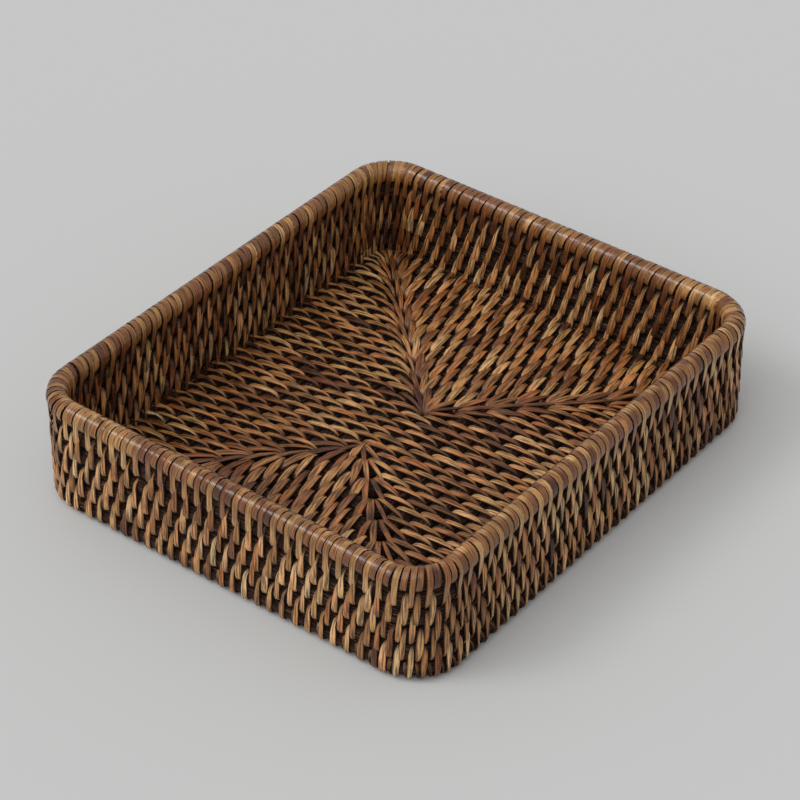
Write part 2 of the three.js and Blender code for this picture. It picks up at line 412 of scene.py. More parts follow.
class Sweep:
    """Lays a flat grid round a section and along stations, which makes one closed rod or strand."""

    # Points within this distance, in metres, are one where the section closes
    WELD = 1e-7

    def __init__(self, stations: list[Station], section: Section, arrises: tuple[int, ...] = ()) -> None:
        """Keeps the stations and works out how each section is turned.

        Args:
            stations: cross sections from one end to the other.
            section: corners as (across, out, share of the way round), once round.
            arrises: the corners of the section that stay sharp.
        """
        self.stations = stations
        self.section = section
        self.arrises = arrises
        for i, station in enumerate(stations):
            before, after = stations[max(i - 1, 0)], stations[min(i + 1, len(stations) - 1)]
            tangent = (after.at - before.at).normalized()
            station.across = tangent.cross(station.normal).normalized()
            station.normal = station.across.cross(tangent).normalized()
            if i:
                station.run = before.run + (station.at - before.at).length

    def mesh(self, name: str) -> bpy.types.Mesh:
        """Builds the closed mesh.

        Args:
            name: the mesh's name.

        Returns:
            The mesh, with UVs in millimetres along and shares round, and with tone and painted crevice shade
            values.
        """
        along, sides = len(self.stations) - 1, len(self.section)
        bm = bmesh.new()
        uv = bm.loops.layers.uv.new("UVMap")
        tone = bm.verts.layers.float.new("tone")
        # The painted crevice shade rides on each point, for the material
        crevice_shade = bm.verts.layers.float.new("crevice_shade")
        bmesh.ops.create_grid(bm, x_segments=along, y_segments=sides, size=1.0)
        places = {}
        for vert in bm.verts:
            i, j = round((vert.co.x + 1) / 2 * along), round((vert.co.y + 1) / 2 * sides)
            places[vert.index] = (i, j)
            station = self.stations[i]
            across, out, _ = self.section[j % sides]
            offset = station.across * (across * station.width) + station.normal * (out * station.thickness)
            vert.co = (station.at + offset) * MM
            vert[tone], vert[crevice_shade] = station.tone, station.crevice_shade
        closing_share = math.floor(self.section[-1][2]) + 1
        for face in bm.faces:
            for corner in face.loops:
                i, j = places[corner.vert.index]
                share = self.section[j][2] if j < sides else closing_share
                corner[uv].uv = (self.stations[i].run, share)
        for edge in bm.edges:
            start, end = (places[vert.index][1] for vert in edge.verts)
            edge.smooth = not (start == end and start in self.arrises)
        bmesh.ops.remove_doubles(bm, verts=bm.verts, dist=self.WELD)
        bmesh.ops.holes_fill(bm, edges=[e for e in bm.edges if e.is_boundary], sides=0)
        bmesh.ops.recalc_face_normals(bm, faces=bm.faces)
        for face in bm.faces:
            face.smooth = len(face.verts) == 4
        mesh = bpy.data.meshes.new(name)
        bm.to_mesh(mesh)
        bm.free()
        return mesh


@dataclass(frozen=True)
class StitchPlace:
    """A place round one stitch.

    The angle is in degrees, from straight behind the own rod. The share runs from 0 in the crevice there
    to 1 in the crevice behind the partner and back to 0, and turned runs from 0 to 1 all the way round. The
    hold is 1 on the own rod, 0 on the partner and a half between them."""

    angle: float
    share: float
    turned: float
    hold: float


class Row:
    """One row of stitches: a single unbroken strand wound round a pair of rods."""

    # Degrees turned on each quarter of a rod
    ARC = (0.0, 30.0, 60.0, 90.0)
    # Past its last stitch the strand goes on for this many places, round its own rod
    END_PLACES = 3
    # The tone wanders from stitch to stitch, and a few stitches are of darker cane
    DRIFT_KEPT = 0.8
    DRIFT_SHARE = 0.45
    ODD_STAIN = 0.35

    def __init__(
        self, routes: PairedRoutes, pair: RodPair, form: StitchForm, lay: Lay, dice: random.Random
    ) -> None:
        """Keeps what the row binds and how.

        Args:
            routes: the two rods' plan routes.
            pair: heights and radii of the two rods.
            form: how the strand changes round a stitch.
            lay: which way the strand goes round.
            dice: seeded source of the small differences between stitches.
        """
        self.routes = routes
        self.pair = pair
        self.form = form
        self.lay = lay
        self.dice = dice
        self.places = self._places()

    def _rods(self, distance: float) -> tuple[tuple[Vector, Vector], tuple[Vector, Vector]]:
        """Where the two rods are.

        Args:
            distance: how far along the row.

        Returns:
            Centre and heading of the own rod, and the same of the partner.
        """
        own, heading = self.routes.own.place(distance)
        partner, facing = self.routes.partner.place(self.routes.facing(distance))
        return (
            (own.to_3d() + UP * self.pair.own_z, heading.to_3d()),
            (partner.to_3d() + UP * self.pair.partner_z, facing.to_3d()),
        )

    def _places(self) -> list[StitchPlace]:
        """Works out the places round one stitch from the lengths of strand that each rod takes up.

        Returns:
            The places from the crevice behind the own rod round the partner and back.
        """
        own, partner = self._rods(self.routes.own.length / 2)
        quarter_own, straight = self.pair.own_radius * math.pi / 2, (own[0] - partner[0]).length
        half_way = quarter_own + straight + self.pair.partner_radius * math.pi / 2
        first, second = quarter_own / half_way, (quarter_own + straight) / half_way
        half = [(angle, angle / 90 * first, 1.0) for angle in self.ARC]
        half.append((90.0, (first + second) / 2, 0.5))
        half += [(90 + angle, second + angle / 90 * (1 - second), 0.0) for angle in self.ARC]
        there = [StitchPlace(angle, share, share / 2, hold) for angle, share, hold in half]
        back = [StitchPlace(360 - p.angle, p.share, 1 - p.turned, p.hold) for p in reversed(there[1:-1])]
        return there + back

    def _lead(self, turned: float) -> float:
        """How far the strand has moved ahead, in stitches, after a share of its way round."""
        hidden = 1 - self.form.seen_lead
        return turned * 2 * hidden if turned < 0.5 else hidden + (turned - 0.5) * 2 * self.form.seen_lead

    def strand(self, marks: list[float], widths: list[float] | None = None) -> bpy.types.Mesh:
        """Winds the strand.

        Args:
            marks: distances of the stitches along the own rod.
            widths: each stitch's share of its full width, or none to throw them.

        Returns:
            The strand's mesh, from its first end to its last.
        """
        form, dice = self.form, self.dice
        marks = [mark + dice.uniform(-1, 1) * form.lead_spread for mark in marks]
        marks = [2 * marks[0] - marks[1]] + marks + [2 * marks[-1] - marks[-2]]
        stations: list[Station] = []
        drift = 0.0
        for i in range(1, len(marks)):
            drift = self.DRIFT_KEPT * drift + dice.gauss(0, form.tone_spread * self.DRIFT_SHARE)
            tone = form.tone + drift + dice.gauss(0, form.tone_spread)
            if dice.random() < form.odd_share:
                tone -= self.ODD_STAIN
            if widths:
                wide = widths[min(i, len(widths)) - 1]
            else:
                wide = 1 + dice.uniform(-1, 1) * form.width_spread
            roll = dice.uniform(-1, 1) * form.roll_spread
            for place in self.places[: None if i < len(marks) - 1 else self.END_PLACES]:
                # A stitch's mark is the middle of its seen face
                step = i + self._lead(place.turned) - (1 - form.seen_lead / 2)
                whole = min(int(step), len(marks) - 2)
                distance = marks[whole] + (marks[whole + 1] - marks[whole]) * (step - whole)
                station = self._station(distance, place, roll)
                station.width *= wide
                station.tone = min(1.0, max(0.0, station.tone + tone))
                stations.append(station)
        return Sweep(stations, form.section, STRIP_ARRISES).mesh("strand")

    def _station(self, distance: float, place: StitchPlace, roll: float) -> Station:
        """One cross section of the strand, seated on the rods.

        Args:
            distance: how far along the row it lies.
            place: where round the stitch it lies.
            roll: how far this stitch leans besides its twist, in degrees.

        Returns:
            The cross section, with its tone as a difference from the stitch's own.
        """
        form, pair, hold = self.form, self.pair, place.hold
        (own, heading), (partner, facing) = self._rods(distance)
        axis = (own - partner).normalized()
        ahead = (heading + facing).normalized()
        side = ahead.cross(axis).normalized()
        turn = math.radians(place.angle) * self.lay.value
        normal = axis * math.cos(turn) + side * math.sin(turn)
        inner_face = self.lay.value * (1 if place.angle > 180 else -1)
        pressed = form.flat_under and inner_face < 0
        lift = form.seat + (0.0 if pressed else from_table(form.lift, place.share))
        radius = pair.own_radius * hold + pair.partner_radius * (1 - hold)
        at = own * hold + partner * (1 - hold) + normal * (radius + lift)
        lean = 0.0 if pressed else roll + inner_face * from_table(form.twist, place.share)
        tilted = normal + ahead * math.tan(math.radians(lean))
        width = from_table(form.width, place.share) * (1 + form.broad_ends * ahead.y**4)
        # On the basket's inner face the tone takes the painted shading of the inside
        tone = from_table(form.inner_painted_shading if inner_face > 0 else form.outer_tone, place.share)
        if inner_face > 0:
            in_corner = abs(2 * ahead.x * ahead.y)
            width *= 1 + form.broad_inside - (form.broad_inside + form.corner_slim) * in_corner
            # Painted shade in the inner corners
            tone -= form.corner_painted_shade * in_corner
        # Painted shade where the strand goes down into the crevice
        crevice_shade = from_table(form.crevice_shade, place.share)
        return Station(at, tilted.normalized(), width, form.thickness, tone=tone, crevice_shade=crevice_shade)


def to_linear(code: str) -> Colour:
    """A colour written as sRGB hex, as the linear value that a shader takes.

    Args:
        code: the colour, as #rrggbb.

    Returns:
        Linear red, green and blue, with full alpha.
    """
    parts = [int(code[i : i + 2], 16) / 255 for i in (1, 3, 5)]
    red, green, blue = (c / 12.92 if c <= 0.04045 else ((c + 0.055) / 1.055) ** 2.4 for c in parts)
    return red, green, blue, 1.0


class MaterialNodes:
    """One material's shader nodes, with the one small function that adds them."""

    def __init__(self, name: str) -> None:
        """Starts a material with its main shader.

        Args:
            name: the material's name.
        """
        self.material = bpy.data.materials.new(name)
        self.material.use_nodes = True
        self.tree = self.material.node_tree
        self.shader = self.tree.nodes["Principled BSDF"]

    def feed(self, node: bpy.types.Node, inputs: dict[int | str, object]) -> None:
        """Links or sets a node's inputs.

        Args:
            node: the node.
            inputs: linked sockets or plain values, by input name or number.
        """
        for name, value in inputs.items():
            if isinstance(value, bpy.types.NodeSocket):
                self.tree.links.new(value, node.inputs[name])
            else:
                node.inputs[name].default_value = value

    def add(
        self,
        kind: str,
        settings: dict[str, object],
        inputs: dict[int | str, object],
        output: int | str = 0,
        stops: tuple[tuple[float, str], ...] = (),
    ) -> bpy.types.NodeSocket:
        """Adds a node with its settings and links.

        Args:
            kind: the node's type name, without the ShaderNode that all of them start with.
            settings: attributes of the node itself.
            inputs: linked sockets or plain values, by input name or number.
            output: the output that is wanted, by name or number.
            stops: positions and sRGB hex colours, where the node is a colour ramp.

        Returns:
            The wanted output of the new node.
        """
        node = self.tree.nodes.new(f"ShaderNode{kind}")
        for name, value in settings.items():
            setattr(node, name, value)
        while stops and len(node.color_ramp.elements) < len(stops):
            node.color_ramp.elements.new(0.5)
        for i, (position, code) in enumerate(stops):
            node.color_ramp.elements[i].position = position
            node.color_ramp.elements[i].color = to_linear(code)
        self.feed(node, inputs)
        return node.outputs[output]


@dataclass(frozen=True)
class RattanPeel:
    """Split rattan peel: the glossy outer skin of the cane, pared to a flat strip.

    The skin shows fine lengthwise fibres, dark flecks where the leaf sheath scarred it, and a slow drift of
    colour from one length of cane to the next. The strip's sides, and the strand where it goes down into a
    crevice, are painted darker as painted shade. Each band says where a pattern, or the way out from the
    strip's middle, begins to tell and where it tells fully."""

    name: str
    shades: tuple[str, ...]
    # The dark colour: of the flecks, and of the painted shade on the sides and in the crevices
    edge: str
    roughness: float
    coat: float
    specular: float
    streaks: tuple[float, float]
    lean: float
    tints: tuple[tuple[float, str], ...] = ((0.36, "#ffe2cc"), (0.5, "#fafafa"), (0.64, "#edf2e2"))
    strip_mm: float = 4.0
    fibre_mm: float = 0.9
    relief_mm: float = 0.2
    skin_relief: float = 0.6
    coat_relief: float = 0.2
    ior: float = 1.5
    coat_roughness: float = 0.13
    hollow_dulling: float = 0.12
    proud_polish: float = 0.06
    rough_band: tuple[float, float] = (0.3, 0.7)
    streak_band: tuple[float, float] = (0.4, 0.58)
    blotch: float = 0.5
    fleck_least: float = 0.64
    fleck_fade: float = 0.06
    fleck_stain: float = 0.6
    # Painted shade on the strip's sides: where it begins, where it is full, and its strength
    edge_band: tuple[float, float] = (0.38, 0.45)
    edge_shade: float = 0.8
    # Painted shade where the strand goes down into a crevice
    crevice_shade_strength: float = 0.92

    def material(self) -> bpy.types.Material:
        """Builds the material from the strand's own UVs, tone and painted crevice shade values.

        Returns:
            The finished material.
        """
        nodes = MaterialNodes(self.name)
        uv = nodes.add("UVMap", {"uv_map": "UVMap"}, {})
        fibres, blotches, flecks, drift = self._patterns(nodes, uv)
        skin = self._skin(nodes, fibres, blotches, drift)
        stain_and_shade = self._stain_and_shade(nodes, uv, flecks)
        # Fibres that stand proud are polished; the hollows between them, the flecks and the painted shade on
        # the sides and in the crevices are dull
        ends = self.roughness + self.hollow_dulling, self.roughness - self.proud_polish
        rough = nodes.add("MapRange", {}, dict(enumerate((fibres, *self.rough_band, *ends))))
        # The dark colour covers the skin: stain in the flecks, painted shade on the sides and in the
        # crevices
        colour = {0: stain_and_shade, 6: skin, 7: to_linear(self.edge)}
        look = {
            "Base Color": nodes.add("Mix", {"data_type": "RGBA"}, colour, 2),
            "Roughness": nodes.add("Math", {"operation": "MAXIMUM"}, {0: rough, 1: stain_and_shade}),
            "IOR": self.ior,
            "Specular IOR Level": self.specular,
            "Coat Weight": self.coat,
            "Coat Roughness": self.coat_roughness,
        }
        for name, strength in (("Normal", self.skin_relief), ("Coat Normal", self.coat_relief)):
            relief = {"Strength": strength, "Distance": self.relief_mm * MM, "Height": fibres}
            look[name] = nodes.add("Bump", {}, relief)
        nodes.feed(nodes.shader, look)
        return nodes.material

    def _patterns(self, nodes: MaterialNodes, uv: bpy.types.NodeSocket) -> list[bpy.types.NodeSocket]:
        """Draws the skin's patterns, which are all drawn out along the cane.

        Args:
            nodes: the material's nodes.
            uv: the strand's UVs.

        Returns:
            The fibres, the blotches, the flecks and the slow drift of colour, each from 0 to 1.
        """
        patterns = []
        # Each entry: spots on a millimetre along, spots across the strip, and levels of finer detail
        for along, across, detail in (
            # Fibre bundles 11 mm long. Real ones stand 0.3 mm apart; these stand 0.7 or 0.9 mm apart,
            # because finer ones would not show.
            (0.09, self.strip_mm / self.fibre_mm, 3.0),
            # Blotches 17 mm long
            (0.06, 1.2, 2.0),
            # Flecks 1.3 mm long and 0.8 mm wide
            (0.8, 5.0, 2.0),
            # A drift that turns every 30 mm or so
            (0.035, 0.6, 1.0),
        ):
            scaled = nodes.add("Mapping", {}, {"Vector": uv, "Scale": (along, across, 1.0)})
            patterns.append(nodes.add("TexNoise", {}, {"Vector": scaled, "Scale": 1.0, "Detail": detail}))
        return patterns

    def _skin(
        self,
        nodes: MaterialNodes,
        fibres: bpy.types.NodeSocket,
        blotches: bpy.types.NodeSocket,
        drift: bpy.types.NodeSocket,
    ) -> bpy.types.NodeSocket:
        """Mixes the colour of the clean skin.

        Args:
            nodes: the material's nodes.
            fibres: the fibre pattern, which darkens and lightens the skin.
            blotches: the blotches, which shift the stitch's own tone.
            drift: the slow drift, along which the skin leans to orange or to olive.

        Returns:
            The colour.
        """
        shift = {0: blotches, 1: self.blotch, 2: -self.blotch / 2}
        shift = nodes.add("Math", {"operation": "MULTIPLY_ADD"}, shift)
        tone = nodes.add("Attribute", {"attribute_name": "tone"}, {}, "Fac")
        shade = nodes.add("Math", {"operation": "ADD"}, {0: shift, 1: tone})
        last = len(self.shades) - 1
        stops = tuple((i / last, code) for i, code in enumerate(self.shades))
        skin = nodes.add("ValToRGB", {}, {"Fac": shade}, stops=stops)
        streaks = nodes.add("MapRange", {}, dict(enumerate((fibres, *self.streak_band, *self.streaks))))
        tints = nodes.add("ValToRGB", {}, {"Fac": drift}, stops=self.tints)
        for strength, layer in ((1.0, streaks), (self.lean, tints)):
            settings = {"data_type": "RGBA", "blend_type": "MULTIPLY"}
            skin = nodes.add("Mix", settings, {0: strength, 6: skin, 7: layer}, 2)
        return skin

    def _stain_and_shade(
        self, nodes: MaterialNodes, uv: bpy.types.NodeSocket, flecks: bpy.types.NodeSocket
    ) -> bpy.types.NodeSocket:
        """Finds where the dark colour goes: stain in flecks, painted shade on the sides and down in
        crevices.

        Args:
            nodes: the material's nodes.
            uv: the strand's UVs.
            flecks: the fleck pattern.

        Returns:
            How much of the dark colour shows, from 0 to 1.
        """
        least, most = self.fleck_least, self.fleck_least + self.fleck_fade
        stain_and_shade = nodes.add("MapRange", {}, {0: flecks, 1: least, 2: most, 3: 0.0, 4: self.fleck_stain})
        # Painted shade on the strip's sides, away from its middle
        over = nodes.add("SeparateXYZ", {}, {0: uv}, "Y")
        off_middle = nodes.add("Math", {"operation": "SUBTRACT"}, {0: over, 1: 0.5})
        off_middle = nodes.add("Math", {"operation": "ABSOLUTE"}, {0: off_middle})
        ends = *self.edge_band, 0.0, self.edge_shade
        edges = nodes.add("MapRange", {}, dict(enumerate((off_middle, *ends))))
        # Painted shade down in the crevices
        crevice_shade = nodes.add("Attribute", {"attribute_name": "crevice_shade"}, {}, "Fac")
        crevice_shading = nodes.add("Math", {"operation": "MULTIPLY"}, {0: crevice_shade, 1: self.crevice_shade_strength})
        for layer in (edges, crevice_shading):
            stain_and_shade = nodes.add("Math", {"operation": "MAXIMUM"}, {0: stain_and_shade, 1: layer})
        return stain_and_shade


@dataclass(frozen=True)
class RattanCore:
    """Rattan core rod: the cane's pith turned to a round, dyed dark and left matt.

    Its open pores show as fine lengthwise lines, some of them paler where the dye took less."""

    name: str = "rattan_core_dyed"
    dark: str = "#20110a"
    pale: str = "#70513f"
    roughness: float = 0.9
    specular: float = 0.2
    relief_mm: float = 0.25
    relief: float = 0.7
    pore_band: tuple[float, float] = (0.54, 0.7)

    def material(self) -> bpy.types.Material:
        """Builds the material from the rod's own UVs.

        Returns:
            The finished material.
        """
        nodes = MaterialNodes(self.name)
        uv = nodes.add("UVMap", {"uv_map": "UVMap"}, {})
        # Pore lines 8 mm long and 0.5 mm apart, on a rod that measures some 25 mm round
        scaled = nodes.add("Mapping", {}, {"Vector": uv, "Scale": (0.12, 50.0, 1.0)})
        pores = nodes.add("TexNoise", {}, {"Vector": scaled, "Scale": 1.0, "Detail": 3.0})
        relief = {"Strength": self.relief, "Distance": self.relief_mm * MM, "Height": pores}
        stops = tuple(zip(self.pore_band, (self.dark, self.pale)))
        look = {
            "Base Color": nodes.add("ValToRGB", {}, {"Fac": pores}, stops=stops),
            "Normal": nodes.add("Bump", {}, relief),
            "Roughness": self.roughness,
            "Specular IOR Level": self.specular,
        }
        nodes.feed(nodes.shader, look)
        return nodes.material


@dataclass(frozen=True)
class BackdropPaper:
    """Uncoated backdrop paper for the floor: even, matt and without a glint."""

    name: str = "floor_paper"
    shade: str = "#c8c9c8"
    roughness: float = 0.9
    specular: float = 0.2

    def material(self) -> bpy.types.Material:
        """Builds the plain material.

        Returns:
            The finished material.
        """
        nodes = MaterialNodes(self.name)
        look = {
            "Base Color": to_linear(self.shade),
            "Roughness": self.roughness,
            "Specular IOR Level": self.specular,
        }
        nodes.feed(nodes.shader, look)
        return nodes.material


@dataclass(frozen=True)
class Finishes:
    """The basket's three finishes."""

    core: bpy.types.Material
    peel: bpy.types.Material
    rim: bpy.types.Material


def make_finishes() -> Finishes:
    """Makes the three finishes.

    Returns:
        The dyed core, the oiled peel of the lashings and the varnished peel of the rim.
    """
    peel = RattanPeel(
        name="rattan_peel_oiled",
        shades=("#4f2d1a", "#83512d", "#b07a48", "#d0a06c", "#e4bc8b"),
        # Dark of the flecks, and of the painted shade on the sides and in the crevices
        edge="#2b170d",
        roughness=0.31,
        coat=0.0,
        specular=0.42,
        streaks=(0.28, 1.24),
        lean=0.9,
    )
    rim = RattanPeel(
        name="rattan_peel_varnished",
        shades=("#502c18", "#714225", "#8d5d35", "#ab7b48", "#ce9f66"),
        # Dark of the flecks, and of the painted shade on the sides and in the crevices
        edge="#1d110b",
        roughness=0.42,
        coat=0.75,
        specular=0.12,
        streaks=(0.45, 1.15),
        lean=0.5,
        fibre_mm=0.7,
        fleck_least=0.72,
    )
    return Finishes(RattanCore().material(), peel.material(), rim.material())


def place_piece(
    name: str, mesh: bpy.types.Mesh, material: bpy.types.Material, node: str
) -> None:
    """Shows a finished mesh in place of its node and lets it ride with the basket.

    Args:
        name: the piece's name.
        mesh: its mesh, in place.
        material: its finish.
        node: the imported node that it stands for.
    """
    piece = bpy.data.objects.new(name, mesh)
    bpy.context.scene.collection.objects.link(piece)
    mesh.materials.append(material)
    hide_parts(node)
    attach(piece, "root")
    LOG.info("%s: %d faces, stands for %s", name, len(mesh.polygons), node)


@dataclass(frozen=True)
class CoreRod:
    """A core rod along a plan route, pressed oval where the lashings pull it against its neighbours."""

    route: Route
    z: float
    width: float
    height: float
    sides: int = 16
    leg_step: float = 9.0
    bend_step: float = 3.0
    unevenness: float = 0.015

    def mesh(self, dice: random.Random) -> bpy.types.Mesh:
        """Sweeps the rod.

        Args:
            dice: seeded source of its slight unevenness.

        Returns:
            The rod's mesh.
        """
        stations = []
        for distance in self.route.distances(self.leg_step, self.bend_step):
            point, _ = self.route.place(distance)
            size = 1 - self.unevenness * dice.random()
            at = point.to_3d() + UP * self.z
            stations.append(Station(at, UP.copy(), self.width * size, self.height * size))
        return Sweep(stations, round_section(self.sides)).mesh("rod")


@dataclass
class Base:
    """The base: one long rod folded on itself and laid round in a flat spiral, and its rows of stitches.

    The hip end is a short leg with which the fold's row and the next one close the fold's left hip, and the
    fold's row runs on past the fold's right end by the fold overrun."""

    sizes: Sizes
    finishes: Finishes
    form: StitchForm = StitchForm(
        width=(
            (0.0, 1.2), (0.12, 1.5), (0.26, 2.8), (0.42, 3.4),
            (0.6, 3.5), (0.76, 2.8), (0.9, 1.6), (1.0, 1.2),
        ),
        lift=((0.0, 0.0), (0.27, 0.1), (0.5, 0.7), (0.73, 0.4), (1.0, 0.0)),
        twist=((0.0, 0.0), (0.25, 12.0), (0.75, -12.0), (1.0, 0.0)),
        seen_lead=0.3,
        tone=0.48,
        tone_spread=0.11,
        broad_ends=0.35,
        corner_slim=0.25,
        # Painted shade along the corners of the base
        corner_painted_shade=0.27,
        flat_under=True,
    )
    hip_end: float = 0.7
    fold_overrun: float = 1.0
    corner_share: float = 1.04
    seed: int = 100

    def turn_route(self, turn: int) -> Route:
        """The route of one turn.

        Args:
            turn: the turn's number, from the fold outwards.

        Returns:
            The route from the turn's outer end to its inner end.
        """
        sizes = self.sizes
        reach, seam = sizes.reach(turn), sizes.base_pitch / 2
        right = sizes.fold_half_length + reach
        start = [(sizes.seam_column(turn), seam), (sizes.seam_column(turn), -reach)]
        end = [(sizes.seam_column(turn - 1), reach), (sizes.seam_column(turn - 1), seam)]
        if turn == sizes.base_turns:
            # The last turn begins where the foot coil starts to bend
            start = [(sizes.foot_bend - sizes.foot_half_length, -reach)]
        if turn == 1:
            # The first turn ends straight, against the turn round it
            end = [(sizes.seam_column(0) - sizes.base_pitch / 2 + sizes.butt, reach)]
        return Route(start + [(right, -reach), (right, reach)] + end, sizes.turn_bend(turn), sizes.butt)

    def partner_route(self, turn: int) -> Route:
        """The route that a turn's stitches reach in to: the turn inside it, begun level with its start.

        Args:
            turn: the number of the turn whose row it is, from 2.

        Returns:
            The route, with as many bends as the turn's own.
        """
        sizes, inner = self.sizes, turn - 1
        if 2 < turn < sizes.base_turns:
            return self.turn_route(inner)
        reach, seam = sizes.reach(inner), sizes.base_pitch / 2
        right = sizes.fold_half_length + reach
        if turn == 2:
            start = [(sizes.seam_column(1), seam), (sizes.seam_column(1), -reach)]
            end = [(sizes.seam_column(0), reach), (sizes.seam_column(0), reach - self.hip_end)]
        else:
            start = [(sizes.foot_bend - sizes.foot_half_length, -reach)]
            end = [(sizes.seam_column(inner - 1), reach), (sizes.seam_column(inner - 1), seam)]
        return Route(start + [(right, -reach), (right, reach)] + end, sizes.turn_bend(inner), sizes.butt)

    def row_routes(self, turn: int) -> PairedRoutes:
        """The facing routes of one row; the first row binds the two halves of the fold.

        Args:
            turn: the number of the turn that the row binds.

        Returns:
            The turn's route, paired with the one inside it.
        """
        sizes = self.sizes
        if turn > 1:
            return PairedRoutes(self.turn_route(turn), self.partner_route(turn))
        right, seam = sizes.fold_half_length + self.fold_overrun, sizes.base_pitch / 2
        outer = [(sizes.seam_column(1), seam), (sizes.seam_column(1), -seam), (right, -seam)]
        inner = [(sizes.seam_column(0), seam + self.hip_end), (sizes.seam_column(0), seam), (right, seam)]
        bend, butt = sizes.turn_bend(1), sizes.butt
        return PairedRoutes(Route(outer, bend, butt), Route(inner, bend, butt))

    def build(self) -> None:
        """Lays the turns and winds their rows."""
        sizes = self.sizes
        for turn in range(1, sizes.base_turns + 1):
            dice = random.Random(self.seed + turn)
            label = f"{turn:02d}"
            route, z = self.turn_route(turn), sizes.base_z(turn)
            rod = CoreRod(route, z, sizes.base_pitch, sizes.base_rod).mesh(dice)
            place_piece(f"base_rod_{label}", rod, self.finishes.core, f"base_coil_{label}")
            pair = RodPair(z, sizes.base_z(max(turn - 1, 1)), sizes.base_rod / 2, sizes.base_rod / 2)
            routes = self.row_routes(turn)
            # The last leg lies in line with the first leg of the turn inside it and takes up its grid
            shift = sizes.stitch_pitch / 2 if turn > 1 else 0.0
            offset = sizes.stitch_pitch / 2 * (turn % 2)
            marks = routes.centres(sizes.stitch_pitch, offset, self.corner_share, shift)
            strand = Row(routes, pair, self.form, Lay.OVER_TOP, dice).strand(marks)
            node = "fold_lashing" if turn == 1 else f"base_lashing_{label}"
            place_piece(f"base_stitches_{label}", strand, self.finishes.peel, node)


@dataclass
class Wall:
    """The wall: a foot coil bound to the base's last turn, and four coils stacked and lashed on it.

    The foot squeeze is the share of the crevice by which the foot coil is pressed inwards."""

    sizes: Sizes
    finishes: Finishes
    form: StitchForm = StitchForm(
        seen_lead=0.28,
        tone=0.65,
        # Painted shade on the wall's inner face
        inner_painted_shading=((0.0, -0.15), (1.0, -0.15)),
        broad_inside=0.18,
        corner_slim=0.3,
        # Painted shade in the wall's inner corners
        corner_painted_shade=0.36,
    )
    foot_form: StitchForm = StitchForm(seen_lead=0.4, tone=0.42, flat_under=True)
    foot_squeeze: float = 0.55
    corner_share: float = 0.7
    seed: int = 200

    def ring(self, half_length: float, half_width: float, bend: float, level: int) -> Route:
        """A closed ring, spliced on the left side, with the splices staggered from level to level.

        Args:
            half_length: how far its short sides lie from the middle.
            half_width: how far its long sides lie from the middle.
            bend: radius of its corners.
            level: 0 at the foot, counted upwards.

        Returns:
            The ring's route, from one side of the splice round to the other.
        """
        sizes, x, y = self.sizes, half_length, half_width
        splice = (level - sizes.wall_coils / 2) * sizes.splice_step
        return Route([(-x, splice), (-x, -y), (x, -y), (x, y), (-x, y), (-x, splice)], bend, sizes.butt)

    def coil_route(self, level: int) -> Route:
        """The route of the foot coil (level 0), a wall coil or the rim rod."""
        sizes = self.sizes
        return self.ring(sizes.foot_half_length, sizes.foot_half_width, sizes.foot_bend, level)

    def _rod(self, level: int, dice: random.Random) -> bpy.types.Mesh:
        """One coil: a wall coil reaches up and down to its neighbours, and the foot coil up and inwards.

        Args:
            level: the coil's level.
            dice: seeded source of its unevenness.

        Returns:
            The coil's mesh.
        """
        sizes = self.sizes
        if level:
            route, z = self.coil_route(level), sizes.coil_z(level)
            return CoreRod(route, z, sizes.wall_rod, sizes.wall_pitch).mesh(dice)
        squeeze = sizes.crevice * self.foot_squeeze
        half_length, half_width = sizes.foot_half_length - squeeze / 2, sizes.foot_half_width - squeeze / 2
        route = self.ring(half_length, half_width, sizes.foot_bend - squeeze / 2, level)
        height = sizes.wall_rod + sizes.crevice / 2
        return CoreRod(route, sizes.foot_z + sizes.crevice / 4, sizes.wall_rod + squeeze, height).mesh(dice)

    def _row(self, level: int, dice: random.Random) -> Row:
        """The row that binds one coil to the coil below it, or the foot coil to the base's last turn.

        Args:
            level: the coil's level.
            dice: seeded source of the differences between its stitches.

        Returns:
            The row.
        """
        sizes, route = self.sizes, self.coil_route(level)
        z, radius = sizes.coil_z(level), sizes.wall_rod / 2
        if level:
            pair = RodPair(z, sizes.coil_z(level - 1), radius, radius)
            return Row(PairedRoutes(route, route), pair, self.form, Lay.UP_OUTSIDE, dice)
        reach, bend = sizes.reach(sizes.base_turns), sizes.turn_bend(sizes.base_turns)
        last_turn = self.ring(sizes.fold_half_length + reach, reach, bend, level)
        pair = RodPair(z, sizes.base_z(sizes.base_turns), radius, sizes.base_rod / 2)
        return Row(PairedRoutes(route, last_turn), pair, self.foot_form, Lay.OVER_TOP, dice)

    def build(self) -> None:
        """Lays the coils and winds their rows."""
        sizes = self.sizes
        for level in range(sizes.wall_coils + 1):
            dice = random.Random(self.seed + level)
            coil, lashing = f"wall_coil_{level}", f"wall_lashing_{level}"
            if level == 0:
                coil, lashing = "foot_coil", "foot_lashing"
            place_piece(f"{coil}_rod", self._rod(level, dice), self.finishes.core, coil)
            row = self._row(level, dice)
            offset = sizes.stitch_pitch / 2 * ((sizes.base_turns + 1 + level) % 2)
            strand = row.strand(row.routes.centres(sizes.stitch_pitch, offset, self.corner_share))
            place_piece(f"{lashing}_stitches", strand, self.finishes.peel, lashing)


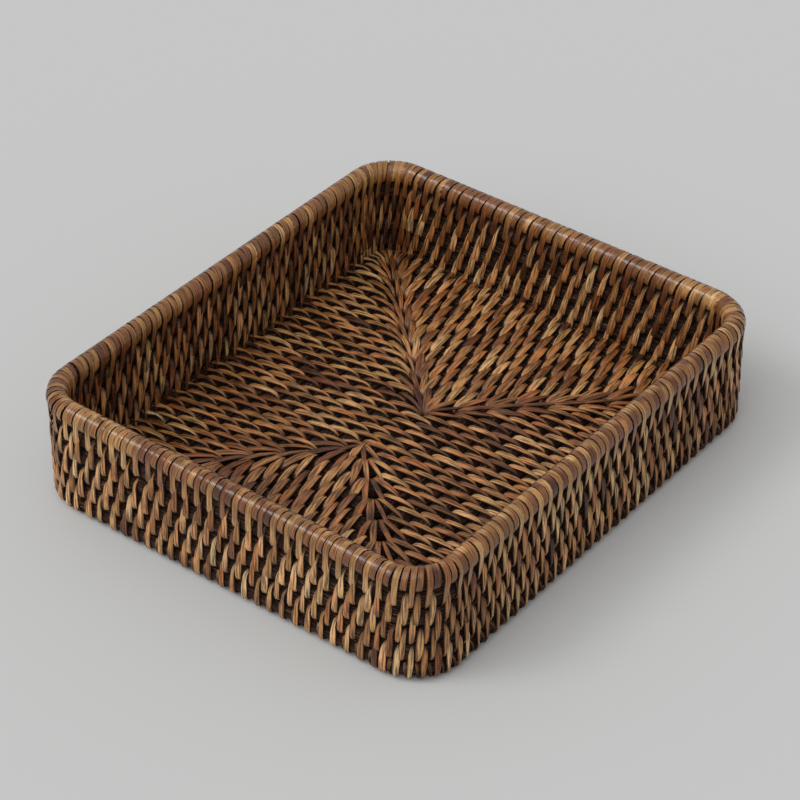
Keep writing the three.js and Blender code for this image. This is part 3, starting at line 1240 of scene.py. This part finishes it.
@dataclass
class Rim:
    """The rim: a thicker rod wrapped all over, where every second wrap reaches down to bind the top coil.

    The unevenness is how far a wrap may stray along the rod, in millimetres, the cover is the share of its
    full width that an evenly spaced wrap takes, and the short drop is how far a short wrap is drawn out
    downwards."""

    sizes: Sizes
    finishes: Finishes
    wall: Wall
    long_form: StitchForm = replace(
        WRAP_FORM,
        width=((0.0, 3.8), (0.32, 3.8), (0.46, 3.3), (0.62, 3.4), (0.78, 3.5), (0.9, 2.3), (1.0, 1.2)),
        lift=((0.0, 0.0), (0.4, 0.0), (0.6, 0.3), (0.88, 0.25), (1.0, 0.0)),
        # Painted shade where the long wrap goes down into the crevice
        crevice_shade=((0.0, 0.0), (0.8, 0.0), (0.9, 0.35), (1.0, 1.0)),
        twist=((0.0, 0.0), (0.5, 0.0), (0.85, -18.0), (1.0, 0.0)),
        tone=0.58,
        # Painted light over the rim's top and painted shade lower down on the inner face
        inner_painted_shading=((0.0, 0.1), (0.32, 0.1), (0.5, -0.2), (1.0, -0.2)),
        outer_tone=((0.0, 0.0), (0.3, 0.0), (0.5, 0.27), (1.0, 0.27)),
    )
    short_form: StitchForm = replace(
        WRAP_FORM,
        width=((0.0, 3.8), (0.8, 3.8), (1.0, 2.8)),
        lift=LEVEL,
        crevice_shade=((0.0, 0.0), (0.8, 0.0), (1.0, 0.8)),
        twist=LEVEL,
        tone=0.42,
        # Painted light: the inner face of the short wraps is drawn lighter
        inner_painted_shading=((0.0, 0.12), (1.0, 0.12)),
    )
    corner_share: float = 0.84
    unevenness: float = 0.35
    cover: float = 0.95
    short_drop: float = 0.6
    seed: int = 300

    def build(self) -> None:
        """Lays the rod and winds the long and the short wraps."""
        sizes, dice = self.sizes, random.Random(self.seed)
        route = self.wall.coil_route(sizes.wall_coils + 1)
        height = sizes.rim_rod + sizes.crevice / 2
        rod = CoreRod(route, sizes.rim_z - sizes.crevice / 4, sizes.rim_rod, height).mesh(dice)
        place_piece("rim_core_rod", rod, self.finishes.core, "rim_rod")
        routes, pitch = PairedRoutes(route, route), sizes.stitch_pitch / 2
        marks = routes.centres(pitch, 0.0, self.corner_share)
        marks = [mark + dice.uniform(-1, 1) * self.unevenness for mark in marks[: len(marks) // 2 * 2]]
        gaps = [b - a for a, b in zip(marks, marks[1:])]
        widths = [(a + b) / 2 / pitch * self.cover for a, b in zip(gaps[:1] + gaps, gaps + gaps[-1:])]
        radius = sizes.rim_rod / 2
        long_pair = RodPair(sizes.rim_z, sizes.coil_z(sizes.wall_coils), radius, sizes.wall_rod / 2)
        short_pair = RodPair(sizes.rim_z, sizes.rim_z - self.short_drop, radius, radius)
        for name, pair, form, first in (
            ("rim_long_wraps", long_pair, self.long_form, 0),
            ("rim_short_wraps", short_pair, self.short_form, 1),
        ):
            row = Row(routes, pair, form, Lay.UP_OUTSIDE, random.Random(name))
            strand = row.strand(marks[first::2], widths[first::2])
            place_piece(f"{name}_wound", strand, self.finishes.rim, name)


@dataclass(frozen=True)
class Lamp:
    """A soft distant lamp: where it shines from, its strength and how wide it looks, in radians."""

    name: str
    source: tuple[float, float, float]
    strength: float
    spread: float

    def build(self) -> None:
        """Hangs the lamp, turned to the middle of the floor."""
        lamp = bpy.data.lights.new(self.name, "SUN")
        lamp.energy = self.strength
        lamp.angle = self.spread
        light = bpy.data.objects.new(self.name, lamp)
        light.rotation_euler = (-Vector(self.source)).to_track_quat("-Z", "Y").to_euler()
        bpy.context.scene.collection.objects.link(light)


@dataclass
class Studio:
    """The plain pale floor, the soft light and the camera."""

    eye: tuple[float, float, float] = (-0.8654, -0.6728, 0.8488)
    target: tuple[float, float, float] = (0.03069, 0.02501, 0.0)
    lens: float = 128.32
    sensor: float = 36.0
    paper: BackdropPaper = BackdropPaper()
    floor_size: float = 12.0
    sky: float = 0.525
    lamps: tuple[Lamp, ...] = (
        Lamp("soft_light", (-1.4, 0.1, 1.9), 1.28, 1.2),
        Lamp("soft_light_middle", (-1.33, 1.25, 1.9), 0.52, 0.38),
    )

    def build(self) -> None:
        """Sets the camera, the floor, the sky and the two lamps."""
        scene = bpy.context.scene
        camera = bpy.data.objects.new("camera", bpy.data.cameras.new("camera"))
        camera.data.lens = self.lens
        camera.data.sensor_width = self.sensor
        camera.location = self.eye
        camera.rotation_euler = (Vector(self.target) - Vector(self.eye)).to_track_quat("-Z", "Y").to_euler()
        scene.collection.objects.link(camera)
        scene.camera = camera
        scene.view_settings.view_transform = "Standard"
        self._floor()
        self._sky()
        for lamp in self.lamps:
            lamp.build()

    def _floor(self) -> None:
        """Lays the plain paper floor."""
        bm = bmesh.new()
        bmesh.ops.create_grid(bm, x_segments=1, y_segments=1, size=self.floor_size / 2)
        mesh = bpy.data.meshes.new("floor")
        bm.to_mesh(mesh)
        bm.free()
        mesh.materials.append(self.paper.material())
        floor = bpy.data.objects.new("floor", mesh)
        bpy.context.scene.collection.objects.link(floor)

    def _sky(self) -> None:
        """Spreads an even white sky."""
        world = bpy.data.worlds.new("studio")
        bpy.context.scene.world = world
        world.use_nodes = True
        background = world.node_tree.nodes["Background"]
        background.inputs["Color"].default_value = to_linear("#ffffff")
        background.inputs["Strength"].default_value = self.sky


def main() -> None:
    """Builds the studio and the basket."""
    logging.basicConfig(level=logging.INFO, format="%(name)s: %(message)s")
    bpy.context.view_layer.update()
    Studio().build()
    sizes, finishes = Sizes(), make_finishes()
    wall = Wall(sizes, finishes)
    Base(sizes, finishes).build()
    wall.build()
    Rim(sizes, finishes, wall).build()


if __name__ == "__main__":
    main()
